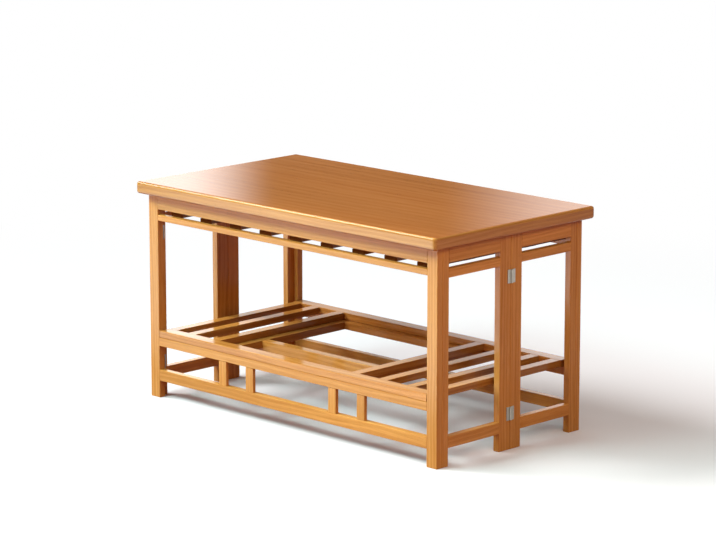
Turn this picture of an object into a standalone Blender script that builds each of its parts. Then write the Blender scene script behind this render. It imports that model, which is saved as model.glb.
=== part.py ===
"""Folding heating table: a loose slab top over a frame of hinged panels that holds two slatted racks.

Metres, +Z up, the floor at z = 0. X runs along the table, the front is at -Y.
"""
import math

import bmesh
import bpy
from mathutils import Matrix, Vector

# Table top
TABLE_HEIGHT = 0.680
TOP_LENGTH = 1.265
TOP_WIDTH = 0.687
TOP_THICKNESS = 0.0375
TOP_END_OVERHANG = 0.0225
TOP_SIDE_OVERHANG = 0.0335
TOP_CORNER_RADIUS = 0.012
TOP_EDGE_RADIUS = 0.008
TOP_ROUND_STEPS = 7

# Sticks of the frame
BOARD = 0.022
PANEL_STILE = 0.040
CORNER_STILE = 0.026
MIDDLE_STILE = 0.046
APRON_HEIGHT = 0.0465
SLOT_HEIGHT = 0.0175
PANEL_UPPER_RAIL = 0.018
LEAF_UPPER_RAIL = 0.026
SHELF_RAIL = 0.027
SHELF_RAIL_BASE = 0.165
BOTTOM_RAIL = 0.035
BOTTOM_RAIL_BASE = 0.054

# Struts under the front shelf rail, in two pairs
STRUT_WIDTH = 0.032
STRUT_DEPTH = 0.012
STRUT_SETBACK = 0.0005
STRUT_PAIR_MIDDLE = 0.2355
STRUT_PAIR_SHIFT = 0.010
STRUT_PAIR_PITCH = 0.118

# Lower rack
RACK_END_GAP = 0.0015
RACK_MEMBER = 0.042
RACK_HEIGHT = 0.022
RACK_SLAT = 0.034
RACK_SLAT_HEIGHT = 0.021
RACK_SLAT_LAP = 0.012
END_SLAT_PITCH = 0.0829
SLAT_PITCH = 0.1115
SLATS_ON_RIGHT = 3
SLATS_ON_LEFT = 2

# Frame under the lower rack that the heater sits on
HEATER_LEDGE = 0.0265
HEATER_LAP = 0.026
HEATER_HEIGHT = 0.024
HEATER_FRONT_SETBACK = 0.173
HEATER_CROSS = 0.030
HEATER_CROSS_DROP = 0.0005
HEATER_FRONT_HEIGHT = 0.036
HEATER_BACK_HEIGHT = 0.023
HEATER_SIDE_SETBACK = 0.088
HEATER_BACK_GAP = 0.008
HEATER_BACK_BAR = 0.0367

# Upper rack
GRID_SLAT = 0.050
GRID_SLAT_THICKNESS = 0.012
GRID_SLAT_COUNT = 9
GRID_LEFT_INSET = 0.044
GRID_SLAT_SEAT = 0.006
GRID_RUNNER = 0.050
GRID_RUNNER_THICKNESS = 0.011
GRID_RUNNER_PLACE = 0.130
GRID_END_GAP = 0.003

# Butt hinges
HINGE_HEIGHT = 0.040
HINGE_WIDTH = 0.016
HINGE_PLATE = 0.0015
BARREL_RADIUS = 0.003
PIN_RADIUS = 0.0014
BARREL_SIDES = 16
PIN_SIDES = 10
UPPER_HINGE = 0.518
LOWER_HINGE = 0.109
KNUCKLE_GAP = 0.0004
PLATE_LET_IN = 0.0006

# Joinery
FIT = 0.0003
EDGE_EASE = 0.0016
EASE_STEPS = 2
TENON_LENGTH = 0.014
TENON_SHOULDER = 0.0055
STRUT_SHOULDER = 0.0035

# Planes and levels that follow from the sizes above
FRAME_X = TOP_LENGTH / 2 - TOP_END_OVERHANG
FRAME_Y = TOP_WIDTH / 2 - TOP_SIDE_OVERHANG
INNER_X = FRAME_X - BOARD
INNER_Y = FRAME_Y - BOARD
PANEL_OPENING_X = FRAME_X - PANEL_STILE
FRAME_TOP = TABLE_HEIGHT - TOP_THICKNESS - FIT
APRON_BASE = FRAME_TOP - APRON_HEIGHT
SLOT_BASE = APRON_BASE - SLOT_HEIGHT
RACK_SEAT = SHELF_RAIL_BASE + SHELF_RAIL
RACK_MIDDLE = RACK_SEAT + FIT + RACK_HEIGHT / 2
BARREL_OFFSET = BARREL_RADIUS + FIT
CORNER_AXIS_X = INNER_X - BARREL_OFFSET
CORNER_AXIS_Y = INNER_Y - BARREL_OFFSET
MIDDLE_AXIS_X = FRAME_X + BARREL_OFFSET

# Axis of each moving body, and the body that carries it
BODIES = {
    "front_frame": (Vector((0, 0, 0)), None),
    "right_front_leaf": (Vector((CORNER_AXIS_X, -CORNER_AXIS_Y, 0)), "front_frame"),
    "right_back_leaf": (Vector((MIDDLE_AXIS_X, 0, 0)), "right_front_leaf"),
    "back_frame": (Vector((CORNER_AXIS_X, CORNER_AXIS_Y, 0)), "right_back_leaf"),
    "left_front_leaf": (Vector((-CORNER_AXIS_X, -CORNER_AXIS_Y, 0)), "front_frame"),
    "left_back_leaf": (Vector((-MIDDLE_AXIS_X, 0, 0)), "left_front_leaf"),
    "lower_rack": (Vector((0, 0, RACK_SEAT)), "front_frame"),
    "upper_rack": (Vector((0, 0, SLOT_BASE)), "front_frame"),
    "table_top": (Vector((0, 0, FRAME_TOP)), "front_frame"),
}

for old in list(bpy.data.objects):
    bpy.data.objects.remove(old)

PARTS = bpy.data.collections.new("folding_heating_table")
CUTTERS = bpy.data.collections.new("cutters")
bpy.context.scene.collection.children.link(PARTS)
bpy.context.scene.collection.children.link(CUTTERS)


def finish(name, colour, roughness, metallic):
    """One plain surface finish."""
    material = bpy.data.materials.new(name)
    material.use_nodes = True
    shader = material.node_tree.nodes["Principled BSDF"]
    shader.inputs["Base Color"].default_value = (*colour, 1.0)
    shader.inputs["Roughness"].default_value = roughness
    shader.inputs["Metallic"].default_value = metallic
    return material


TOP_WOOD = finish("glossy_top_wood", (0.46, 0.21, 0.06), 0.16, 0.0)
FRAME_WOOD = finish("lacquered_frame_wood", (0.56, 0.27, 0.08), 0.28, 0.0)
RACK_WOOD = finish("lacquered_rack_wood", (0.50, 0.23, 0.07), 0.25, 0.0)
STEEL = finish("brushed_steel", (0.62, 0.62, 0.60), 0.32, 1.0)


def make_carriers():
    """An empty on the axis of each moving body, carried as the bodies are."""
    carriers = {}
    for name, (axis, carrier) in BODIES.items():
        empty = bpy.data.objects.new("axis_" + name, None)
        empty.empty_display_size = 0.03
        PARTS.objects.link(empty)
        empty.location = axis
        if carrier:
            empty.parent = carriers[carrier]
            empty.location = axis - BODIES[carrier][0]
        carriers[name] = empty
    return carriers


CARRIERS = make_carriers()
SOCKETS = {}


def mesh_object(name, bm, collection):
    """An object made from a bmesh, with its faces pointing out."""
    bmesh.ops.recalc_face_normals(bm, faces=bm.faces)
    mesh = bpy.data.meshes.new(name)
    bm.to_mesh(mesh)
    bm.free()
    piece = bpy.data.objects.new(name, mesh)
    collection.objects.link(piece)
    return piece


def place(piece, body, centre, material):
    """Put a piece at a point of the table and let its body carry it."""
    piece.data.materials.append(material)
    piece.parent = CARRIERS[body]
    piece.location = Vector(centre) - BODIES[body][0]
    return piece


def add_block(bm, centre, size):
    """A plain block in a bmesh."""
    where = Matrix.Translation(centre) @ Matrix.Diagonal((*size, 1.0))
    return bmesh.ops.create_cube(bm, size=1.0, matrix=where)["verts"]


def add_stick(bm, centre, size, grain):
    """A block whose long edges are eased, as a sanded stick has them."""
    verts = add_block(bm, centre, size)
    edges = {edge for vert in verts for edge in vert.link_edges}
    ease(bm, [edge for edge in edges if runs_along(edge, grain)])


def add_rod(bm, centre, radius, length, sides):
    """An upright rod in a bmesh."""
    half_step = Matrix.Rotation(math.pi / sides, 4, "Z")
    bmesh.ops.create_cone(
        bm,
        cap_ends=True,
        segments=sides,
        radius1=radius,
        radius2=radius,
        depth=length,
        matrix=Matrix.Translation(centre) @ half_step,
    )


def ease(bm, edges):
    """Round the given edges a little."""
    bmesh.ops.bevel(
        bm,
        geom=edges,
        offset=EDGE_EASE,
        segments=EASE_STEPS,
        profile=0.5,
        affect="EDGES",
    )


def runs_along(edge, axis):
    """Whether an edge lies along one axis."""
    along = edge.verts[1].co - edge.verts[0].co
    return abs(along[axis]) > 0.9 * along.length


def combine(piece, operation, shape):
    """Cut or join a piece with a hidden shape."""
    shape.hide_render = True
    shape.display_type = "WIRE"
    modifier = piece.modifiers.new(shape.name, "BOOLEAN")
    modifier.operation = operation
    modifier.solver = "EXACT"
    modifier.object = shape


def combine_mesh(piece, operation, bm, name):
    """Cut or join a piece with a mesh given in the piece's own frame."""
    shape = mesh_object(name, bm, CUTTERS)
    shape.parent = piece
    combine(piece, operation, shape)


def stile(name, body, centre, size):
    """An upright with all its edges eased."""
    bm = bmesh.new()
    add_block(bm, (0, 0, 0), size)
    ease(bm, list(bm.edges))
    return place(mesh_object(name, bm, PARTS), body, centre, FRAME_WOOD)


def rail(name, body, centre, size, grain, seats, shoulder=TENON_SHOULDER):
    """A stick with a stub tenon at each end, and the sockets that take the tenons.

    The size is between the shoulders, grain is the axis it runs along, and seats names the
    pieces at its low and high end.
    """
    bm = bmesh.new()
    add_stick(bm, (0, 0, 0), size, grain)
    tenon = Vector(size) - Vector((1, 1, 1)) * 2 * shoulder
    shrink = Vector([tenon[axis] / size[axis] for axis in range(3)])
    shrink[grain] = 1.0
    for seat, sign in zip(seats, (-1, 1)):
        end = max(bm.faces, key=lambda face: sign * face.calc_center_median()[grain])
        neck = bmesh.ops.extrude_discrete_faces(bm, faces=[end])["faces"][0]
        bmesh.ops.scale(bm, vec=shrink, verts=neck.verts)
        tip = bmesh.ops.extrude_discrete_faces(bm, faces=[neck])["faces"][0]
        out = Vector((0, 0, 0))
        out[grain] = sign * TENON_LENGTH
        bmesh.ops.translate(bm, vec=out, verts=tip.verts)
        hole = tenon + Vector((1, 1, 1)) * 2 * FIT
        hole[grain] = TENON_LENGTH + FIT
        middle = Vector(centre)
        middle[grain] += sign * (size[grain] + hole[grain]) / 2
        SOCKETS.setdefault(seat, []).append((middle, hole))
    return place(mesh_object(name, bm, PARTS), body, centre, FRAME_WOOD)


def cut_sockets():
    """Cut the blind mortises, once every rail has said where its tenons go."""
    for name, sockets in SOCKETS.items():
        piece = bpy.data.objects[name]
        home = piece.location + BODIES[piece.parent.name[len("axis_"):]][0]
        bm = bmesh.new()
        for middle, hole in sockets:
            add_block(bm, middle - home, hole)
        combine_mesh(piece, "DIFFERENCE", bm, name + "_mortises")


def make_panel(side, facing):
    """The front or back panel: two stiles with four rails between them."""
    body = side + "_frame"
    y = facing * (FRAME_Y - BOARD / 2)
    stile_x = FRAME_X - PANEL_STILE / 2
    stiles = (side + "_left_stile", side + "_right_stile")
    for name, sign in zip(stiles, (-1, 1)):
        stile(name, body, (sign * stile_x, y, FRAME_TOP / 2), (PANEL_STILE, BOARD, FRAME_TOP))
    between = 2 * (PANEL_OPENING_X - FIT)
    rails = {
        "apron": (APRON_BASE, APRON_HEIGHT),
        "upper_rail": (SLOT_BASE - PANEL_UPPER_RAIL, PANEL_UPPER_RAIL),
        "shelf_rail": (SHELF_RAIL_BASE, SHELF_RAIL),
        "bottom_rail": (BOTTOM_RAIL_BASE, BOTTOM_RAIL),
    }
    for name, (base, height) in rails.items():
        rail(f"{side}_{name}", body, (0, y, base + height / 2), (between, BOARD, height), 0, stiles)


def make_struts():
    """Two pairs of short uprights between the front panel's shelf rail and bottom rail."""
    base = BOTTOM_RAIL_BASE + BOTTOM_RAIL + FIT
    height = SHELF_RAIL_BASE - FIT - base
    y = -(FRAME_Y - STRUT_SETBACK - STRUT_DEPTH / 2)
    seats = ("front_bottom_rail", "front_shelf_rail")
    places = [
        STRUT_PAIR_SHIFT + pair * STRUT_PAIR_MIDDLE + step * STRUT_PAIR_PITCH
        for pair in (-1, 1)
        for step in (-0.5, 0.5)
    ]
    for number, x in enumerate(places, start=1):
        size = (STRUT_WIDTH, STRUT_DEPTH, height)
        centre = (x, y, base + height / 2)
        rail(f"front_strut_{number}", "front_frame", centre, size, 2, seats, STRUT_SHOULDER)


def make_leaf(end, outward, side, facing):
    """Half of a folding end: a corner stile, a middle stile and three rails between them."""
    leaf = f"{end}_{side}"
    body = leaf + "_leaf"
    x = outward * (FRAME_X - BOARD / 2)
    corner_y = INNER_Y - FIT - CORNER_STILE / 2
    middle_y = FIT + MIDDLE_STILE / 2
    uprights = {"corner": (corner_y, CORNER_STILE), "middle": (middle_y, MIDDLE_STILE)}
    for name, (y, width) in uprights.items():
        centre = (x, facing * y, FRAME_TOP / 2)
        stile(f"{leaf}_{name}_stile", body, centre, (BOARD, width, FRAME_TOP))
    low = middle_y + MIDDLE_STILE / 2 + FIT
    high = corner_y - CORNER_STILE / 2 - FIT
    seats = (f"{leaf}_middle_stile", f"{leaf}_corner_stile")
    if facing < 0:
        seats = seats[::-1]
    rails = {
        "apron": (APRON_BASE, APRON_HEIGHT),
        "upper_rail": (SLOT_BASE - LEAF_UPPER_RAIL, LEAF_UPPER_RAIL),
        "bottom_rail": (BOTTOM_RAIL_BASE, BOTTOM_RAIL),
    }
    for name, (base, height) in rails.items():
        centre = (x, facing * (low + high) / 2, base + height / 2)
        rail(f"{leaf}_{name}", body, centre, (BOARD, high - low, height), 1, seats)


def knuckle_spans(which):
    """Middle height and length of the knuckles of one half of a hinge."""
    third = HINGE_HEIGHT / 3
    steps = (0,) if which == "middle" else (-1, 1)
    return [(step * third, third - KNUCKLE_GAP) for step in steps]


def hinge_half(name, way, which, let_in):
    """A hinge plate with its knuckles, its pin on the local Z axis and the wood at local -Y.

    The plate runs along +X or -X. The half with the outer knuckles has the pin, and the half
    with the middle knuckle has the bore for it.
    """
    other = "outer" if which == "middle" else "middle"
    back = BARREL_RADIUS * 0.93 + let_in
    front = BARREL_RADIUS * 0.93 - HINGE_PLATE
    inner = -BARREL_RADIUS * 0.2
    bm = bmesh.new()
    size = (HINGE_WIDTH - inner, back - front, HINGE_HEIGHT)
    add_block(bm, (way * (HINGE_WIDTH + inner) / 2, -(back + front) / 2, 0), size)
    half = mesh_object(name, bm, PARTS)
    knuckles = bmesh.new()
    for middle, length in knuckle_spans(which):
        add_rod(knuckles, (0, 0, middle), BARREL_RADIUS, length, BARREL_SIDES)
    combine_mesh(half, "UNION", knuckles, name + "_knuckles")
    room = bmesh.new()
    for middle, length in knuckle_spans(other):
        spare = length + 2 * KNUCKLE_GAP
        add_rod(room, (0, 0, middle * 1.01), BARREL_RADIUS + KNUCKLE_GAP, spare, BARREL_SIDES)
    combine_mesh(half, "DIFFERENCE", room, name + "_knuckle_room")
    pin = bmesh.new()
    if which == "outer":
        add_rod(pin, (0, 0, 0), PIN_RADIUS, HINGE_HEIGHT - 4 * KNUCKLE_GAP, PIN_SIDES)
        combine_mesh(half, "UNION", pin, name + "_pin")
    else:
        add_rod(pin, (0, 0, 0), PIN_RADIUS + FIT, HINGE_HEIGHT * 1.02, PIN_SIDES)
        combine_mesh(half, "DIFFERENCE", pin, name + "_bore")
    return half


def make_middle_hinge(end, outward, level, z):
    """A butt hinge on the outside of an end, across the seam between its two leaves."""
    for side, which, way in (("front", "outer", outward), ("back", "middle", -outward)):
        half = hinge_half(f"{end}_{level}_hinge_{side}_plate", way, which, 0)
        half.rotation_euler.z = -outward * math.pi / 2
        place(half, f"{end}_{side}_leaf", (outward * MIDDLE_AXIS_X, 0, z), STEEL)


def make_corner_hinge(side, facing, end, outward, level, z):
    """A butt hinge inside a corner: one plate on the panel's stile, one let into the leaf's stile."""
    axis = (outward * CORNER_AXIS_X, facing * CORNER_AXIS_Y, z)
    panel_half = hinge_half(f"{side}_{end}_{level}_corner_hinge", outward * facing, "outer", 0)
    panel_half.rotation_euler.z = math.pi if facing > 0 else 0
    place(panel_half, side + "_frame", axis, STEEL)
    reach = BARREL_RADIUS * 0.07 + FIT + PLATE_LET_IN
    leaf_half = hinge_half(f"{end}_{side}_{level}_leaf_plate", -outward * facing, "middle", reach)
    leaf_half.rotation_euler.z = outward * math.pi / 2
    place(leaf_half, f"{end}_{side}_leaf", axis, STEEL)
    PARTS.objects.unlink(leaf_half)
    CUTTERS.objects.link(leaf_half)
    combine(bpy.data.objects[f"{end}_{side}_corner_stile"], "UNION", leaf_half)


def make_lower_rack():
    """The slatted footrest: two long members with slats between them, open in the middle."""
    end_x = PANEL_OPENING_X - RACK_END_GAP
    member_y = FRAME_Y - RACK_MEMBER / 2
    member = (2 * end_x, RACK_MEMBER, RACK_HEIGHT)
    slat_y = 2 * (FRAME_Y - RACK_MEMBER + RACK_SLAT_LAP)
    end_slat = end_x - RACK_SLAT / 2 - EDGE_EASE
    outer_slat = end_slat - END_SLAT_PITCH
    right = [outer_slat - step * SLAT_PITCH for step in range(SLATS_ON_RIGHT)]
    left = [step * SLAT_PITCH - outer_slat for step in range(SLATS_ON_LEFT)]
    bm = bmesh.new()
    add_stick(bm, (0, member_y, 0), member, 0)
    piece = mesh_object("lower_rack", bm, PARTS)
    front = bmesh.new()
    add_stick(front, (0, -member_y, 0), member, 0)
    combine_mesh(piece, "UNION", front, "rack_front_member")
    slats = bmesh.new()
    for x in [-end_slat, *left, *right, end_slat]:
        add_stick(slats, (x, 0, 0), (RACK_SLAT, slat_y, RACK_SLAT_HEIGHT), 1)
    combine_mesh(piece, "UNION", slats, "rack_slats")
    place(piece, "lower_rack", (0, 0, RACK_MIDDLE), RACK_WOOD)
    make_heater_frame(left[-1] + RACK_SLAT / 2, right[-1] - RACK_SLAT / 2)


def make_heater_frame(left_edge, right_edge):
    """The ledge frame screwed under the rack, that carries the heater in the middle opening."""
    width = HEATER_LEDGE + HEATER_LAP
    left_x = left_edge + HEATER_LEDGE - width / 2
    right_x = right_edge - HEATER_LEDGE + width / 2
    back = INNER_Y - HEATER_BACK_GAP
    side_front = HEATER_SIDE_SETBACK - INNER_Y
    length = back - side_front
    side_y = (back + side_front) / 2
    bm = bmesh.new()
    add_stick(bm, (left_x, side_y, 0), (width, length, HEATER_HEIGHT), 1)
    piece = mesh_object("heater_frame", bm, PARTS)
    right = bmesh.new()
    add_stick(right, (right_x, side_y, 0), (width, length, HEATER_HEIGHT), 1)
    combine_mesh(piece, "UNION", right, "heater_frame_right")
    front_bar = HEATER_FRONT_SETBACK - INNER_Y + HEATER_CROSS / 2
    bars = {
        "heater_frame_front": (front_bar, HEATER_CROSS, HEATER_FRONT_HEIGHT),
        "heater_frame_back": (back - FIT - HEATER_BACK_BAR / 2, HEATER_BACK_BAR, HEATER_BACK_HEIGHT),
    }
    bar_top = HEATER_HEIGHT / 2 - HEATER_CROSS_DROP
    for name, (y, depth, height) in bars.items():
        bar = bmesh.new()
        size = (right_x - left_x, depth, height)
        add_stick(bar, ((left_x + right_x) / 2, y, bar_top - height / 2), size, 0)
        combine_mesh(piece, "UNION", bar, name)
    slat_base = RACK_MIDDLE - RACK_SLAT_HEIGHT / 2
    rack_base = min(slat_base, RACK_MIDDLE - RACK_HEIGHT / 2)
    place(piece, "lower_rack", (0, 0, rack_base - FIT - HEATER_HEIGHT / 2), RACK_WOOD)


def make_upper_rack():
    """The flat grid under the top: slats across the table, half lapped over two long runners."""
    reach_y = INNER_Y + GRID_SLAT_SEAT
    reach_x = PANEL_OPENING_X - GRID_END_GAP
    runner = (2 * reach_x, GRID_RUNNER, GRID_RUNNER_THICKNESS)
    bm = bmesh.new()
    add_stick(bm, (0, GRID_RUNNER_PLACE, 0), runner, 0)
    piece = mesh_object("upper_rack", bm, PARTS)
    front = bmesh.new()
    add_stick(front, (0, -GRID_RUNNER_PLACE, 0), runner, 0)
    combine_mesh(piece, "UNION", front, "grid_front_runner")
    slats = bmesh.new()
    last_x = reach_x - GRID_SLAT / 2 - EDGE_EASE
    pitch = (last_x + reach_x - GRID_LEFT_INSET - GRID_SLAT / 2) / (GRID_SLAT_COUNT - 1)
    for number in range(GRID_SLAT_COUNT):
        size = (GRID_SLAT, 2 * reach_y, GRID_SLAT_THICKNESS)
        add_stick(slats, (last_x - number * pitch, 0, 0), size, 1)
    combine_mesh(piece, "UNION", slats, "grid_slats")
    place(piece, "upper_rack", (0, 0, SLOT_BASE + FIT + GRID_SLAT_THICKNESS / 2), RACK_WOOD)


def make_top():
    """The loose slab, with round corners and softened edges."""
    bm = bmesh.new()
    add_block(bm, (0, 0, 0), (TOP_LENGTH, TOP_WIDTH, TOP_THICKNESS))
    rounds = {"segments": TOP_ROUND_STEPS, "profile": 0.5, "affect": "EDGES"}
    corners = [edge for edge in bm.edges if runs_along(edge, 2)]
    bmesh.ops.bevel(bm, geom=corners, offset=TOP_CORNER_RADIUS, **rounds)
    rims = [edge for edge in bm.edges if not runs_along(edge, 2)]
    bmesh.ops.bevel(bm, geom=rims, offset=TOP_EDGE_RADIUS, **rounds)
    piece = mesh_object("table_top", bm, PARTS)
    place(piece, "table_top", (0, 0, TABLE_HEIGHT - TOP_THICKNESS / 2), TOP_WOOD)


SIDES = {"front": -1, "back": 1}
ENDS = {"right": 1, "left": -1}
LEVELS = {"upper": UPPER_HINGE, "lower": LOWER_HINGE}

for side, facing in SIDES.items():
    make_panel(side, facing)
make_struts()
for end, outward in ENDS.items():
    for side, facing in SIDES.items():
        make_leaf(end, outward, side, facing)
cut_sockets()
for end, outward in ENDS.items():
    for level, z in LEVELS.items():
        make_middle_hinge(end, outward, level, z)
        for side, facing in SIDES.items():
            make_corner_hinge(side, facing, end, outward, level, z)
make_lower_rack()
make_upper_rack()
make_top()
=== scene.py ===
import math

import bmesh
import bpy
from mathutils import Matrix, Vector


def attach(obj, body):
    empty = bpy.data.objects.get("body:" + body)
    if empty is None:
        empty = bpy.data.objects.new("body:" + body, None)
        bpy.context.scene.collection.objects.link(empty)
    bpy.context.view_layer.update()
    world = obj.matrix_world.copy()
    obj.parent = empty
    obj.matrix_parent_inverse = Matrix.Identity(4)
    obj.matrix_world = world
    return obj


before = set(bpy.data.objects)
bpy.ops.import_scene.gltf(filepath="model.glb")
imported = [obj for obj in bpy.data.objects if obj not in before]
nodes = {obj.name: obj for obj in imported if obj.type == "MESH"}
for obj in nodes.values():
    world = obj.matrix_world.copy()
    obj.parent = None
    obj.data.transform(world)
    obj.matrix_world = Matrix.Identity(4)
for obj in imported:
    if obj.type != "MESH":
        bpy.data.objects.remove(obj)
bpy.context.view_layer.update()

# Viewpoint: the table stands with its front right corner towards the viewer, who looks a little
# down on the top through a long lens. Place and lens were fitted to the corners of the table.
VIEW_FROM = Vector((6.605, -6.6806, 2.4464))
VIEW_TARGET = Vector((-0.197, 0.187, 0.386))
VIEW_LENS = 159.87
VIEW_SENSOR = 36.0
VIEW_REACH = 100.0

viewpoint = bpy.data.objects.new("viewpoint", bpy.data.cameras.new("viewpoint"))
viewpoint.location = VIEW_FROM
viewpoint.rotation_euler = (VIEW_TARGET - VIEW_FROM).to_track_quat("-Z", "Y").to_euler()
viewpoint.data.lens = VIEW_LENS
viewpoint.data.sensor_width = VIEW_SENSOR
viewpoint.data.sensor_fit = "HORIZONTAL"
viewpoint.data.clip_end = VIEW_REACH
bpy.context.scene.collection.objects.link(viewpoint)
bpy.context.scene.camera = viewpoint

# Front and back panels: stiles, apron and rails of straight-grained honey-coloured wood, planed, eased
# on the edges, joined with stub tenons and finished with a clear lacquer. The front one also has struts.
FRAME_PALE = (0.72, 0.375, 0.096, 1.0)
FRAME_DEEP = (0.50, 0.200, 0.032, 1.0)
FRAME_FIGURE = 0.30
FRAME_STREAK = 1.1
FRAME_COAT = 0.7
FRAME_COAT_ROUGHNESS = 0.18
COAT_IOR = 1.3
WOOD_RELIEF = 0.12
RELIEF_DEPTH = 0.0004
PLANK_CUTS = 3
CUT_STEP = Vector((2.7, 0.61, 0.83))
ALONG = {"X": (0.0, 0.0, 0.0), "Y": (0.0, 0.0, -math.pi / 2), "Z": (0.0, math.pi / 2, 0.0)}

# Values of the grain: cells per metre along the fibre and across it, the rings round the pith, then tones.
NOISE_MIDDLE = 0.5
DRIFT_CELLS = (1.1, 3.2, 3.2)
DRIFT_REACH = (0.0, 0.05, 0.05)
STREAK_CELLS = (1.4, 75.0)
THREAD_CELLS = (8.0, 430.0)
TONE_CELLS = (0.9, 5.0)
PORE_CELLS = (42.0, 1500.0)
PITH_PLACE = (0.0, 0.17, -0.21)
PITH_TILT = (0.0, 0.05, 0.035)
PITH_STRETCH = (0.16, 1.0, 1.0)
RING_SCALE = 27.0
RING_WAVER = 2.4
RING_DETAIL_SCALE = 1.3
RING_DETAIL_ROUGHNESS = 0.55
RING_SHARPNESS = 1.4
RING_MIDDLE = 0.45
THREAD_SHARE = 0.9
MIDDLE_TONE = 0.52
TONE_LIMITS = (0.3, 0.7)
TONE_LEVELS = (0.88, 1.10)
PORE_LIMITS = (0.62, 0.74)
PORE_DARKNESS = 0.22
GRAIN_ROUGHNESS = 0.36
ROUGHNESS_SPREAD = 0.25
THREAD_HEIGHT = 0.5
SURFACE = {"Color": "Color", "Roughness": "Float", "Height": "Float"}


def wire(tree, kind, sockets, **settings):
    """Add one shader node and set or link its inputs."""
    made = tree.nodes.new(kind)
    for name, value in settings.items():
        setattr(made, name, value)
    for key, value in sockets.items():
        if isinstance(value, bpy.types.NodeSocket):
            tree.links.new(value, made.inputs[key])
        else:
            made.inputs[key].default_value = value
    return made


def calc(tree, operation, first, second, third=0.0, clamp=False):
    """One Math node."""
    sockets = {0: first, 1: second, 2: third}
    return wire(tree, "ShaderNodeMath", sockets, operation=operation, use_clamp=clamp).outputs[0]


def size_of(tree, value):
    """A value without its sign."""
    return calc(tree, "ABSOLUTE", value, 0.0)


def vector_calc(tree, operation, first, second):
    """One Vector Math node."""
    return wire(tree, "ShaderNodeVectorMath", {0: first, 1: second}, operation=operation).outputs[0]


def shaded(tree, colour, level):
    """A colour made lighter or darker by a level."""
    return wire(tree, "ShaderNodeVectorMath", {0: colour, "Scale": level}, operation="SCALE").outputs[0]


def mix_colours(tree, share, first, second):
    """Two colours mixed by the second one's share."""
    return wire(tree, "ShaderNodeMix", {0: share, 6: first, 7: second}, data_type="RGBA").outputs[2]


def mix_values(tree, share, first, second):
    """Two values mixed by the second one's share."""
    return wire(tree, "ShaderNodeMix", {0: share, 2: first, 3: second}).outputs[0]


def ramp(tree, value, limits, levels=(0.0, 1.0), interpolation="LINEAR"):
    """A value between two limits, carried over to two levels."""
    sockets = {"Value": value, "From Min": limits[0], "From Max": limits[1], "To Min": levels[0], "To Max": levels[1]}
    return wire(tree, "ShaderNodeMapRange", sockets, interpolation_type=interpolation).outputs[0]


def coordinates(tree, kind):
    """One kind of texture coordinates: Object for a place, Normal for a facing, Generated for the dome."""
    return wire(tree, "ShaderNodeTexCoord", {}).outputs[kind]


def axes_of(tree, vector):
    """A vector's X, Y and Z."""
    return wire(tree, "ShaderNodeSeparateXYZ", {"Vector": vector}).outputs


def stretched_noise(tree, vector, cells, detail):
    """Noise drawn out along X: cells per metre along the fibre and across it."""
    along, across = cells
    scaled = vector_calc(tree, "MULTIPLY", vector, (along, across, across))
    return wire(tree, "ShaderNodeTexNoise", {"Vector": scaled, "Scale": 1.0, "Detail": detail}).outputs["Fac"]


def new_group(name, takes):
    """An empty shader node group that gives a surface; returns its tree, input node and output node."""
    tree = bpy.data.node_groups.new(name, "ShaderNodeTree")
    for socket, kind in takes.items():
        tree.interface.new_socket(socket, in_out="INPUT", socket_type="NodeSocket" + kind)
    for socket, kind in SURFACE.items():
        tree.interface.new_socket(socket, in_out="OUTPUT", socket_type="NodeSocket" + kind)
    return tree, tree.nodes.new("NodeGroupInput"), tree.nodes.new("NodeGroupOutput")


def give_surface(tree, result, *surface):
    """Link colour, roughness and height to a group's outputs."""
    for socket, value in zip(SURFACE, surface):
        tree.links.new(value, result.inputs[socket])


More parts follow.
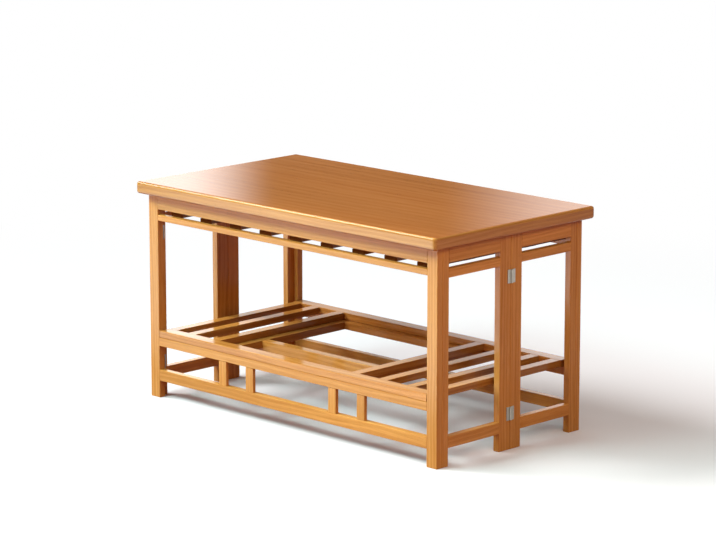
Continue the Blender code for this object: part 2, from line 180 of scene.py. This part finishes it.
def build_grain_group():
    """Long-grained wood: growth rings round a far-off pith, drawn-out fibres, pores and a broad change of tone."""
    takes = {"Fibre": "Vector", "Pale": "Color", "Deep": "Color", "Figure": "Float", "Streak": "Float"}
    tree, given, result = new_group("long_grain", takes)
    fibre = given.outputs["Fibre"]
    bend = vector_calc(tree, "MULTIPLY", fibre, DRIFT_CELLS)
    drift = wire(tree, "ShaderNodeTexNoise", {"Vector": bend, "Scale": 1.0, "Detail": 2.0}).outputs["Color"]
    centred = vector_calc(tree, "SUBTRACT", drift, [NOISE_MIDDLE] * 3)
    moved = vector_calc(tree, "ADD", fibre, vector_calc(tree, "MULTIPLY", centred, DRIFT_REACH))
    pith = wire(tree, "ShaderNodeMapping", {
        "Vector": moved, "Location": PITH_PLACE, "Rotation": PITH_TILT, "Scale": PITH_STRETCH})
    rings = wire(tree, "ShaderNodeTexWave", {
        "Vector": pith.outputs[0], "Scale": RING_SCALE, "Distortion": RING_WAVER, "Detail": 2.0,
        "Detail Scale": RING_DETAIL_SCALE, "Detail Roughness": RING_DETAIL_ROUGHNESS},
        wave_type="RINGS", rings_direction="X", wave_profile="SIN")
    ring = calc(tree, "POWER", rings.outputs["Fac"], RING_SHARPNESS)
    streak = stretched_noise(tree, moved, STREAK_CELLS, detail=2.0)
    thread = stretched_noise(tree, moved, THREAD_CELLS, detail=3.0)
    tone = stretched_noise(tree, fibre, TONE_CELLS, detail=1.0)
    pore = ramp(tree, stretched_noise(tree, moved, PORE_CELLS, detail=1.0), PORE_LIMITS)
    thread_swing = calc(tree, "SUBTRACT", thread, NOISE_MIDDLE)
    ring_part = calc(tree, "MULTIPLY", calc(tree, "SUBTRACT", ring, RING_MIDDLE), given.outputs["Figure"])
    streak_part = calc(tree, "MULTIPLY", calc(tree, "SUBTRACT", streak, NOISE_MIDDLE), given.outputs["Streak"])
    thread_part = calc(tree, "MULTIPLY_ADD", thread_swing, THREAD_SHARE, MIDDLE_TONE)
    blend = calc(tree, "ADD", calc(tree, "ADD", ring_part, streak_part), thread_part, clamp=True)
    mixed = mix_colours(tree, blend, given.outputs["Deep"], given.outputs["Pale"])
    dark = calc(tree, "MULTIPLY_ADD", pore, -PORE_DARKNESS, 1.0)
    level = calc(tree, "MULTIPLY", ramp(tree, tone, TONE_LIMITS, TONE_LEVELS), dark)
    rough = calc(tree, "MULTIPLY_ADD", thread_swing, ROUGHNESS_SPREAD, GRAIN_ROUGHNESS)
    height = calc(tree, "SUBTRACT", calc(tree, "MULTIPLY", thread, THREAD_HEIGHT), pore)
    give_surface(tree, result, shaded(tree, mixed, level), rough, height)
    return tree


long_grain = build_grain_group()


def grain(tree, axis, cut, pale, deep, figure, streak, fineness=1.0):
    """The wood of one board: Object coordinates turned so that its fibre runs along the axis."""
    turned = wire(tree, "ShaderNodeMapping", {
        "Vector": coordinates(tree, "Object"), "Rotation": ALONG[axis], "Location": CUT_STEP * cut,
        "Scale": [fineness] * 3})
    return wire(tree, "ShaderNodeGroup", {
        "Fibre": turned.outputs[0], "Pale": pale, "Deep": deep, "Figure": figure, "Streak": streak},
        node_tree=long_grain).outputs


def coated_material(name, coat, coat_roughness):
    """A new material with a clear coat over it; returns material, tree and shader."""
    material = bpy.data.materials.new(name)
    material.use_nodes = True
    shader = material.node_tree.nodes["Principled BSDF"]
    shader.inputs["Coat Weight"].default_value = coat
    shader.inputs["Coat Roughness"].default_value = coat_roughness
    shader.inputs["Coat IOR"].default_value = COAT_IOR
    shader.inputs["Specular IOR Level"].default_value = 0.0
    return material, material.node_tree, shader


def join_surface(tree, shader, colour, roughness, height, relief):
    """Join colour, roughness and height to the shader."""
    tree.links.new(colour, shader.inputs["Base Color"])
    tree.links.new(roughness, shader.inputs["Roughness"])
    bump = wire(tree, "ShaderNodeBump", {"Strength": relief, "Distance": RELIEF_DEPTH, "Height": height})
    tree.links.new(bump.outputs[0], shader.inputs["Normal"])


def frame_grain(tree, axis, cut):
    """The grain of the frame's sticks."""
    return grain(tree, axis, cut, FRAME_PALE, FRAME_DEEP, FRAME_FIGURE, FRAME_STREAK)


frame_woods = {}


def frame_wood(axis, cut):
    """Lacquered wood of the frame's sticks along one axis, cut from one place of the plank."""
    if (axis, cut) not in frame_woods:
        name = f"frame_wood_{axis.lower()}_{cut}"
        material, tree, shader = coated_material(name, FRAME_COAT, FRAME_COAT_ROUGHNESS)
        join_surface(tree, shader, *frame_grain(tree, axis, cut), WOOD_RELIEF)
        frame_woods[axis, cut] = material
    return frame_woods[axis, cut]


def dress(node, material):
    """Put a material on every slot of a CAD node."""
    for slot in nodes[node].material_slots:
        slot.material = material


for cut, side in enumerate(("front", "back")):
    for end in ("left", "right"):
        dress(f"{side}_{end}_stile", frame_wood("Z", cut))
    for number, rail in enumerate(("apron", "upper_rail", "shelf_rail", "bottom_rail")):
        dress(f"{side}_{rail}", frame_wood("X", (cut + number) % PLANK_CUTS))
for number in range(1, 5):
    dress(f"front_strut_{number}", frame_wood("Z", number % PLANK_CUTS))

# Folding ends: two narrow leaves at each end of the table, of the same lacquered sticks, hinged to each
# other. A steel hinge plate is let into the inner face of every corner stile.
PLATE_FACE_X = 0.5879
STEEL_PALE = (0.50, 0.45, 0.39, 1.0)
STEEL_DEEP = (0.33, 0.30, 0.26, 1.0)
BRUSH_CELLS = (60.0, 3200.0)
BRUSH_LIMITS = (0.3, 0.7)
STAIN_CELLS = (90.0, 90.0)
STEEL_ROUGHNESS = 0.22
STAIN_ROUGHNESS = 0.25


def build_brushed_group():
    """Cold-rolled steel with fine brush lines up and down, and faint stains."""
    tree, given, result = new_group("brushed_steel", {"Place": "Vector"})
    turned = wire(tree, "ShaderNodeMapping", {"Vector": given.outputs["Place"], "Rotation": ALONG["Z"]}).outputs[0]
    lines = ramp(tree, stretched_noise(tree, turned, BRUSH_CELLS, detail=3.0), BRUSH_LIMITS)
    stain = stretched_noise(tree, turned, STAIN_CELLS, detail=2.0)
    rough = calc(tree, "MULTIPLY_ADD", stain, STAIN_ROUGHNESS, STEEL_ROUGHNESS)
    give_surface(tree, result, mix_colours(tree, lines, STEEL_DEEP, STEEL_PALE), rough, lines)
    return tree


brushed_steel = build_brushed_group()


def brushed(tree):
    """The brushed steel group on Object coordinates."""
    sockets = {"Place": coordinates(tree, "Object")}
    return wire(tree, "ShaderNodeGroup", sockets, node_tree=brushed_steel).outputs


def choose(tree, mask, first, second):
    """Colour, roughness and height of two surfaces, mixed by a mask."""
    colour = mix_colours(tree, mask, first[0], second[0])
    rough = mix_values(tree, mask, first[1], second[1])
    height = mix_values(tree, mask, first[2], second[2])
    return colour, rough, height


def corner_stile_wood(cut):
    """Frame wood, and steel where the inner hinge plate stands proud of the stile."""
    material, tree, shader = coated_material(f"corner_stile_wood_{cut}", FRAME_COAT, FRAME_COAT_ROUGHNESS)
    across = size_of(tree, axes_of(tree, coordinates(tree, "Object"))["X"])
    plate = calc(tree, "LESS_THAN", across, PLATE_FACE_X)
    surface = choose(tree, plate, frame_grain(tree, "Z", cut), brushed(tree))
    join_surface(tree, shader, *surface, WOOD_RELIEF)
    tree.links.new(plate, shader.inputs["Metallic"])
    return material


corner_stile_woods = [corner_stile_wood(cut) for cut in range(2)]
for end_number, end in enumerate(("right", "left")):
    for side_number, side in enumerate(("front", "back")):
        leaf = f"{end}_{side}"
        cut = 2 * end_number + side_number
        dress(f"{leaf}_corner_stile", corner_stile_woods[side_number])
        dress(f"{leaf}_middle_stile", frame_wood("Z", 1 + cut % PLANK_CUTS))
        for number, rail in enumerate(("apron", "upper_rail", "bottom_rail")):
            dress(f"{leaf}_{rail}", frame_wood("Y", (cut + number) % PLANK_CUTS))

# Butt hinges: pressed steel plates with rolled knuckles on a steel pin, held by three countersunk
# cross-head screws in each plate. Two join the leaves of each end, two sit inside every corner.
STEEL_COAT = 0.0
STEEL_COAT_ROUGHNESS = 0.1
STEEL_RELIEF = 0.1
SCREW_SIDES = 20
SCREW_RADIUS = 0.0024
SCREW_TAPER = 0.8
SCREW_PROUD = 0.0003
SCREW_SINK = 0.0009
SCREW_RIM = 0.0002
SCREW_TURN = 0.65
RECESS_HALF_WIDTH = 0.0004
RECESS_REACH = 0.0015
RECESS_DEPTH = 0.0007
RECESS_DRAFT = 0.75
FLAT_UP = 0.99
SCREW_SPACING = 0.0128
HINGE_LEVELS = (0.518, 0.109)
MIDDLE_PLATE_X = 0.6120
MIDDLE_SCREW_Y = 0.0100
PANEL_PLATE_Y = 0.2860
PANEL_SCREW_X = 0.5750
LEAF_PLATE_X = 0.5860
LEAF_SCREW_Y = 0.2750

hinge_steel, hinge_tree, hinge_shader = coated_material("hinge_steel", STEEL_COAT, STEEL_COAT_ROUGHNESS)
hinge_shader.inputs["Metallic"].default_value = 1.0
join_surface(hinge_tree, hinge_shader, *brushed(hinge_tree), STEEL_RELIEF)
for name in nodes:
    if "hinge" in name:
        dress(name, hinge_steel)


def screw_head():
    """One screw head facing +Z with its cross recess; the plate's face is at z = 0."""
    bm = bmesh.new()
    depth = SCREW_PROUD + SCREW_SINK
    bmesh.ops.create_cone(bm, cap_ends=True, segments=SCREW_SIDES, radius1=SCREW_RADIUS * SCREW_TAPER,
                          radius2=SCREW_RADIUS, depth=depth)
    bmesh.ops.translate(bm, verts=bm.verts, vec=(0, 0, SCREW_PROUD - depth / 2))
    rim = [edge for edge in bm.edges if all(vert.co.z > 0 for vert in edge.verts)]
    bmesh.ops.bevel(bm, geom=rim, offset=SCREW_RIM, segments=2, profile=0.5, affect="EDGES", material=-1)
    for axis in (Vector((1, 0, 0)), Vector((0, 1, 0))):
        for distance in (-RECESS_REACH, -RECESS_HALF_WIDTH, RECESS_HALF_WIDTH, RECESS_REACH):
            face_up = [face for face in bm.faces if face.normal.z > FLAT_UP]
            edges = [edge for face in face_up for edge in face.edges]
            corners = [vert for face in face_up for vert in face.verts]
            geom = list(dict.fromkeys(face_up + edges + corners))
            bmesh.ops.bisect_plane(bm, geom=geom, plane_co=axis * distance, plane_no=axis)
    bm.normal_update()
    cross = []
    for face in bm.faces:
        middle = face.calc_center_median()
        near, far = sorted((abs(middle.x), abs(middle.y)))
        if face.normal.z > FLAT_UP and near < RECESS_HALF_WIDTH and far < RECESS_REACH:
            cross.append(face)
    sunk = bmesh.ops.extrude_face_region(bm, geom=cross)["geom"]
    floor_verts = [item for item in sunk if isinstance(item, bmesh.types.BMVert)]
    bmesh.ops.translate(bm, verts=floor_verts, vec=(0, 0, -RECESS_DEPTH))
    bmesh.ops.scale(bm, verts=floor_verts, vec=(RECESS_DRAFT, RECESS_DRAFT, 1.0))
    bmesh.ops.delete(bm, geom=[face for face in cross if face.is_valid], context="FACES_ONLY")
    bmesh.ops.recalc_face_normals(bm, faces=bm.faces)
    return bm


def screws(name, body, seats):
    """All the screws of one body as one piece; each seat is a point and the way that the head faces."""
    mesh = bpy.data.meshes.new(name)
    joined = bmesh.new()
    for number, (point, facing) in enumerate(seats):
        head = screw_head()
        turn = Matrix.Rotation(SCREW_TURN * number, 4, "Z")
        aim = Vector(facing).to_track_quat("Z", "Y").to_matrix().to_4x4()
        bmesh.ops.transform(head, verts=head.verts, matrix=Matrix.Translation(point) @ aim @ turn)
        single = bpy.data.meshes.new("screw")
        head.to_mesh(single)
        head.free()
        joined.from_mesh(single)
        bpy.data.meshes.remove(single)
    joined.to_mesh(mesh)
    joined.free()
    piece = bpy.data.objects.new(name, mesh)
    mesh.materials.append(hinge_steel)
    bpy.context.scene.collection.objects.link(piece)
    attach(piece, body)


SCREW_LEVELS = [level + step * SCREW_SPACING for level in HINGE_LEVELS for step in (-1, 0, 1)]
for side, facing in (("front", -1), ("back", 1)):
    seats = []
    for outward in (1, -1):
        for z in SCREW_LEVELS:
            seats.append((Vector((outward * PANEL_SCREW_X, facing * PANEL_PLATE_Y, z)), (0, -facing, 0)))
    screws(f"{side}_panel_screws", f"{side}_frame", seats)
    for end, outward in (("right", 1), ("left", -1)):
        seats = []
        for z in SCREW_LEVELS:
            seats.append((Vector((outward * MIDDLE_PLATE_X, facing * MIDDLE_SCREW_Y, z)), (outward, 0, 0)))
            seats.append((Vector((outward * LEAF_PLATE_X, facing * LEAF_SCREW_Y, z)), (-outward, 0, 0)))
        screws(f"{end}_{side}_leaf_screws", f"{end}_{side}_leaf", seats)

# Lower rack: a slatted footrest of the same wood that lies on the shelf rails. Two long members carry
# short slats let into them, and a ledge frame for a heater is fixed under its middle opening.
RACK_PALE = (0.70, 0.345, 0.082, 1.0)
RACK_DEEP = (0.47, 0.175, 0.026, 1.0)
RACK_FIGURE = 0.30
RACK_STREAK = 1.1
RACK_CUTS = {"X": 1, "Y": 2}
RACK_COAT = 0.8
RACK_COAT_ROUGHNESS = 0.12
MEMBER_EDGE_Y = 0.268
HEATER_BARS_X = (-0.312, 0.2005)
JOINT_LINE = 0.0005
JOINT_DARKNESS = 0.55
SQUARE_ON = 0.7
# Painted shade: faces that look along X, the sides of the slats, are darkened by this share.
SIDE_PAINTED_SHADE = 0.3
# Slat ends: a darker end grain, deepened with painted shade for ends that sit in the slot under the aprons.
END_GRAIN_AND_SHADE = (0.075, 0.017, 0.004, 1.0)


def joined_wood(name, distance_of, painted_side_shade, end_grain_and_shade=0.0):
    """Wood of a glued-up rack: fibre along each stick, dark joints, painted shade on slat sides, dark end grain and
    painted shade on slat ends.
    """
    material, tree, shader = coated_material(name, RACK_COAT, RACK_COAT_ROUGHNESS)
    members, slats = [
        grain(tree, axis, cut, RACK_PALE, RACK_DEEP, RACK_FIGURE, RACK_STREAK) for axis, cut in RACK_CUTS.items()]
    place = axes_of(tree, coordinates(tree, "Object"))
    facing = axes_of(tree, coordinates(tree, "Normal"))
    slat_side, slat_end, flat = [
        calc(tree, "GREATER_THAN", size_of(tree, facing[axis]), SQUARE_ON) for axis in "XYZ"]
    distance = distance_of(tree, place)
    lean = calc(tree, "MULTIPLY", calc(tree, "SUBTRACT", slat_end, slat_side), JOINT_LINE)
    on_member = calc(tree, "GREATER_THAN", calc(tree, "ADD", distance, lean), 0.0)
    colour, rough, height = choose(tree, on_member, slats, members)
    near = calc(tree, "LESS_THAN", size_of(tree, distance), JOINT_LINE)
    line = calc(tree, "MULTIPLY", near, flat)
    lines = calc(tree, "MULTIPLY_ADD", line, -JOINT_DARKNESS, 1.0)
    # Painted shade on the slat sides.
    painted_side_level = calc(tree, "MULTIPLY_ADD", slat_side, -painted_side_shade, 1.0)
    colour = shaded(tree, colour, calc(tree, "MULTIPLY", lines, painted_side_level))
    # The slat ends are mixed towards dark end grain deepened by painted shade, and lose their coat.
    if end_grain_and_shade:
        colour = mix_colours(tree, calc(tree, "MULTIPLY", slat_end, end_grain_and_shade), colour, END_GRAIN_AND_SHADE)
        coat = calc(tree, "MULTIPLY_ADD", slat_end, -RACK_COAT, RACK_COAT)
        tree.links.new(coat, shader.inputs["Coat Weight"])
    join_surface(tree, shader, colour, rough, height, WOOD_RELIEF)
    return material


def beyond_member_edge(tree, place):
    """Distance into the long members, negative over the slats."""
    return calc(tree, "SUBTRACT", size_of(tree, place["Y"]), MEMBER_EDGE_Y)


def between_heater_sides(tree, place):
    """Distance into the cross bars of the ledge frame, negative over its sides."""
    middle = sum(HEATER_BARS_X) / 2
    reach = (HEATER_BARS_X[1] - HEATER_BARS_X[0]) / 2
    off_middle = size_of(tree, calc(tree, "SUBTRACT", place["X"], middle))
    return calc(tree, "SUBTRACT", reach, off_middle)


dress("lower_rack", joined_wood("lower_rack_wood", beyond_member_edge, SIDE_PAINTED_SHADE))
dress("heater_frame", joined_wood("heater_frame_wood", between_heater_sides, SIDE_PAINTED_SHADE))

# Upper rack: a flat grid under the top whose slat ends show in the slot below the aprons. Nine thin
# slats run from front to back, half lapped over two runners.
GRID_LAST_X = 0.5404
GRID_PITCH = 0.1298
GRID_HALF_SLAT = 0.025
# Painted shade on the sides of the grid's slats.
GRID_SIDE_PAINTED_SHADE = 0.5
# Share of the slat ends' dark end grain and painted shade.
END_GRAIN_AND_SHADE_SHARE = 0.9


def beside_grid_slats(tree, place):
    """Distance from the nearest slat's edge, positive on the runners between slats."""
    from_last = size_of(tree, calc(tree, "SUBTRACT", place["X"], GRID_LAST_X))
    step = calc(tree, "PINGPONG", from_last, GRID_PITCH / 2)
    return calc(tree, "SUBTRACT", step, GRID_HALF_SLAT)


dress("upper_rack", joined_wood("upper_rack_wood", beside_grid_slats, GRID_SIDE_PAINTED_SHADE, END_GRAIN_AND_SHADE_SHARE))

# Table top: one thick loose slab of a deeper wood with a broad figure along its length, its edge faces painted
# in a paler wood as painted light, rounded at corners and edges, and glossier than the frame.
TOP_PALE = (0.535, 0.200, 0.047, 1.0)
TOP_DEEP = (0.358, 0.105, 0.017, 1.0)
SLAB_FIGURE = 0.22
SLAB_STREAK = 0.7
SLAB_FINENESS = 0.5
SLAB_CUT = 4
# Painted light: the slab's edge faces get this paler wood so that they look lit beside its deeper top face.
PAINTED_EDGE_PALE = (0.57, 0.292, 0.065, 1.0)
PAINTED_EDGE_DEEP = (0.39, 0.152, 0.022, 1.0)
PAINTED_EDGE_FIGURE = 0.30
PAINTED_EDGE_STREAK = 0.9
PAINTED_EDGE_CUTS = {"X": 4, "Y": 5}
PAINTED_EDGE_LIMITS = (0.96, 0.80)
END_FACING = 0.5
TOP_COAT = 1.0
TOP_COAT_ROUGHNESS = 0.09
TOP_RELIEF = 0.05

top_wood, top_tree, top_shader = coated_material("glossy_top_wood", TOP_COAT, TOP_COAT_ROUGHNESS)
slab = grain(top_tree, "X", SLAB_CUT, TOP_PALE, TOP_DEEP, SLAB_FIGURE, SLAB_STREAK, SLAB_FINENESS)
long_painted_edge, end_painted_edge = [
    grain(top_tree, axis, cut, PAINTED_EDGE_PALE, PAINTED_EDGE_DEEP, PAINTED_EDGE_FIGURE, PAINTED_EDGE_STREAK) for axis, cut in PAINTED_EDGE_CUTS.items()]
top_facing = axes_of(top_tree, coordinates(top_tree, "Normal"))
on_end = calc(top_tree, "GREATER_THAN", size_of(top_tree, top_facing["X"]), END_FACING)
# Painted light: the paler wood on the slab's edge faces.
on_painted_edge = ramp(top_tree, size_of(top_tree, top_facing["Z"]), PAINTED_EDGE_LIMITS)
painted_edge = choose(top_tree, on_end, long_painted_edge, end_painted_edge)
join_surface(top_tree, top_shader, *choose(top_tree, on_painted_edge, slab, painted_edge), TOP_RELIEF)
dress("table_top", top_wood)

# Studio floor: a white sweep that turns up into a low wall all round. To what sees it, it is white and
# glows far away, so that no horizon shows; to the wood it gives back a little warm light.
FLOOR_RADIUS = 14.0
FLOOR_SIDES = 96
WALL_HEIGHT = 2.3
FLOOR_WHITE = (0.83, 0.838, 0.85, 1.0)
FLOOR_BOUNCE = (0.29, 0.085, 0.045, 1.0)
FAR_WHITE = (1.0, 1.0, 1.0, 1.0)
FAR_LIMITS = (1.3, 3.2)
BLACK = (0.0, 0.0, 0.0, 1.0)

bm = bmesh.new()
bmesh.ops.create_circle(bm, cap_ends=True, segments=FLOOR_SIDES, radius=FLOOR_RADIUS)
rim = [edge for edge in bm.edges if edge.is_boundary]
raised = bmesh.ops.extrude_edge_only(bm, edges=rim)["geom"]
wall_top = [item for item in raised if isinstance(item, bmesh.types.BMVert)]
bmesh.ops.translate(bm, verts=wall_top, vec=(0, 0, WALL_HEIGHT))
floor_mesh = bpy.data.meshes.new("studio_floor")
bm.to_mesh(floor_mesh)
bm.free()
floor = bpy.data.objects.new("studio_floor", floor_mesh)
bpy.context.scene.collection.objects.link(floor)
floor.visible_shadow = False
floor_paint = bpy.data.materials.new("studio_white")
floor_paint.use_nodes = True
floor_tree = floor_paint.node_tree
floor_shader = floor_tree.nodes["Principled BSDF"]
rays = wire(floor_tree, "ShaderNodeLightPath", {}).outputs
seen = calc(floor_tree, "MAXIMUM", rays["Is Camera Ray"], rays["Is Glossy Ray"])
seen = calc(floor_tree, "MAXIMUM", seen, rays["Is Transmission Ray"])
floor_place = coordinates(floor_tree, "Object")
away = wire(floor_tree, "ShaderNodeVectorMath", {0: floor_place}, operation="LENGTH").outputs["Value"]
far = ramp(floor_tree, away, FAR_LIMITS, interpolation="SMOOTHSTEP")
paint = mix_colours(floor_tree, seen, FLOOR_BOUNCE, mix_colours(floor_tree, far, FLOOR_WHITE, BLACK))
glow = mix_colours(floor_tree, calc(floor_tree, "MULTIPLY", seen, far), BLACK, FAR_WHITE)
floor_tree.links.new(paint, floor_shader.inputs["Base Color"])
floor_tree.links.new(glow, floor_shader.inputs["Emission Color"])
floor_shader.inputs["Emission Strength"].default_value = 1.0
floor_shader.inputs["Roughness"].default_value = 1.0
floor_shader.inputs["Specular IOR Level"].default_value = 0.0
floor_mesh.materials.append(floor_paint)

# Studio lamps: a soft key lamp from the front left, boxes that light the wood from the front and the
# right, cards that only its gloss picks up, and a dome that is brightest overhead.
KEY_TRAVEL = Vector((0.70, 0.39, -0.63))
KEY_STRENGTH = 2.85
KEY_ANGLE = math.radians(24)
PLAIN_WHITE = (1.0, 1.0, 1.0)
FRONT_COOL = (0.70, 1.0, 1.0)
FILL_WARM = (1.0, 0.73, 0.57)
CARD_FACING = (0.703, -0.711, 0.0)
CARD_MIDDLE = 0.5
DOME_LOW = (0.05, 0.026, 0.022, 1.0)
DOME_HIGH = (0.80, 0.79, 0.77, 1.0)
DOME_RISE = 2.0

key = bpy.data.objects.new("key_lamp", bpy.data.lights.new("key_lamp", "SUN"))
key.data.energy = KEY_STRENGTH
key.data.angle = KEY_ANGLE
key.rotation_euler = KEY_TRAVEL.to_track_quat("-Z", "Y").to_euler()
bpy.context.scene.collection.objects.link(key)


def soft_box(name, middle, facing, width, height, watts, fade_part, lights, glints, colour=PLAIN_WHITE):
    """A lamp card that fades towards its edges; it may light the wood, show in its gloss, or both."""
    lamp = bpy.data.objects.new(name, bpy.data.lights.new(name, "AREA"))
    lamp.data.shape = "RECTANGLE"
    lamp.data.size = width
    lamp.data.size_y = height
    lamp.data.energy = watts
    lamp.data.color = colour
    lamp.location = middle
    lamp.rotation_euler = Vector(facing).to_track_quat("-Z", "Y").to_euler()
    lamp.visible_camera = False
    lamp.visible_diffuse = lights
    lamp.visible_glossy = glints
    lamp.data.use_nodes = True
    tree = lamp.data.node_tree
    spot = axes_of(tree, wire(tree, "ShaderNodeNewGeometry", {}).outputs["Parametric"])
    fade = 1.0
    for side in ("X", "Y"):
        from_edge = calc(tree, "PINGPONG", spot[side], CARD_MIDDLE)
        fade = calc(tree, "MULTIPLY", ramp(tree, from_edge, (0.0, fade_part), interpolation="SMOOTHSTEP"), fade)
    tree.links.new(fade, tree.nodes["Emission"].inputs["Strength"])
    bpy.context.scene.collection.objects.link(lamp)


soft_box("front_soft_box", middle=(-0.75, -2.75, 2.95), facing=(0.75, 2.75, -2.55), width=2.6, height=1.6,
         watts=210.0, fade_part=0.3, lights=True, glints=False, colour=FRONT_COOL)
soft_box("low_front_box", middle=(-0.9, -4.0, 1.0), facing=(0.9, 4.0, -0.65), width=2.6, height=1.6,
         watts=62.0, fade_part=0.3, lights=True, glints=False)
soft_box("right_soft_box", middle=(3.3, -1.35, 2.4), facing=(-3.3, 1.35, -2.0), width=3.0, height=2.0,
         watts=102.0, fade_part=0.3, lights=True, glints=True, colour=FILL_WARM)
soft_box("left_back_card", middle=(-4.63, 2.44, 1.5), facing=CARD_FACING, width=2.4, height=1.8,
         watts=33.0, fade_part=0.2, lights=False, glints=True)
soft_box("right_back_card", middle=(-2.34, 4.71, 1.5), facing=CARD_FACING, width=2.6, height=1.8,
         watts=20.0, fade_part=0.27, lights=False, glints=True)
soft_box("low_back_card", middle=(-1.42, 1.42, 0.45), facing=(1.0, -1.0, 0.0), width=2.4, height=0.9,
         watts=8.0, fade_part=0.08, lights=False, glints=True)
soft_box("floor_card", middle=(-1.45, -2.0, 0.004), facing=(0.0, 0.0, 1.0), width=4.4, height=3.0,
         watts=250.0, fade_part=0.2, lights=False, glints=True)

dome = bpy.data.worlds.new("studio_dome")
dome.use_nodes = True
dome_tree = dome.node_tree
up = axes_of(dome_tree, coordinates(dome_tree, "Generated"))["Z"]
rise = calc(dome_tree, "POWER", calc(dome_tree, "MAXIMUM", up, 0.0), DOME_RISE)
dome_colour = mix_colours(dome_tree, rise, DOME_LOW, DOME_HIGH)
dome_tree.links.new(dome_colour, dome_tree.nodes["Background"].inputs["Color"])
bpy.context.scene.world = dome
bpy.context.scene.view_settings.view_transform = "Standard"
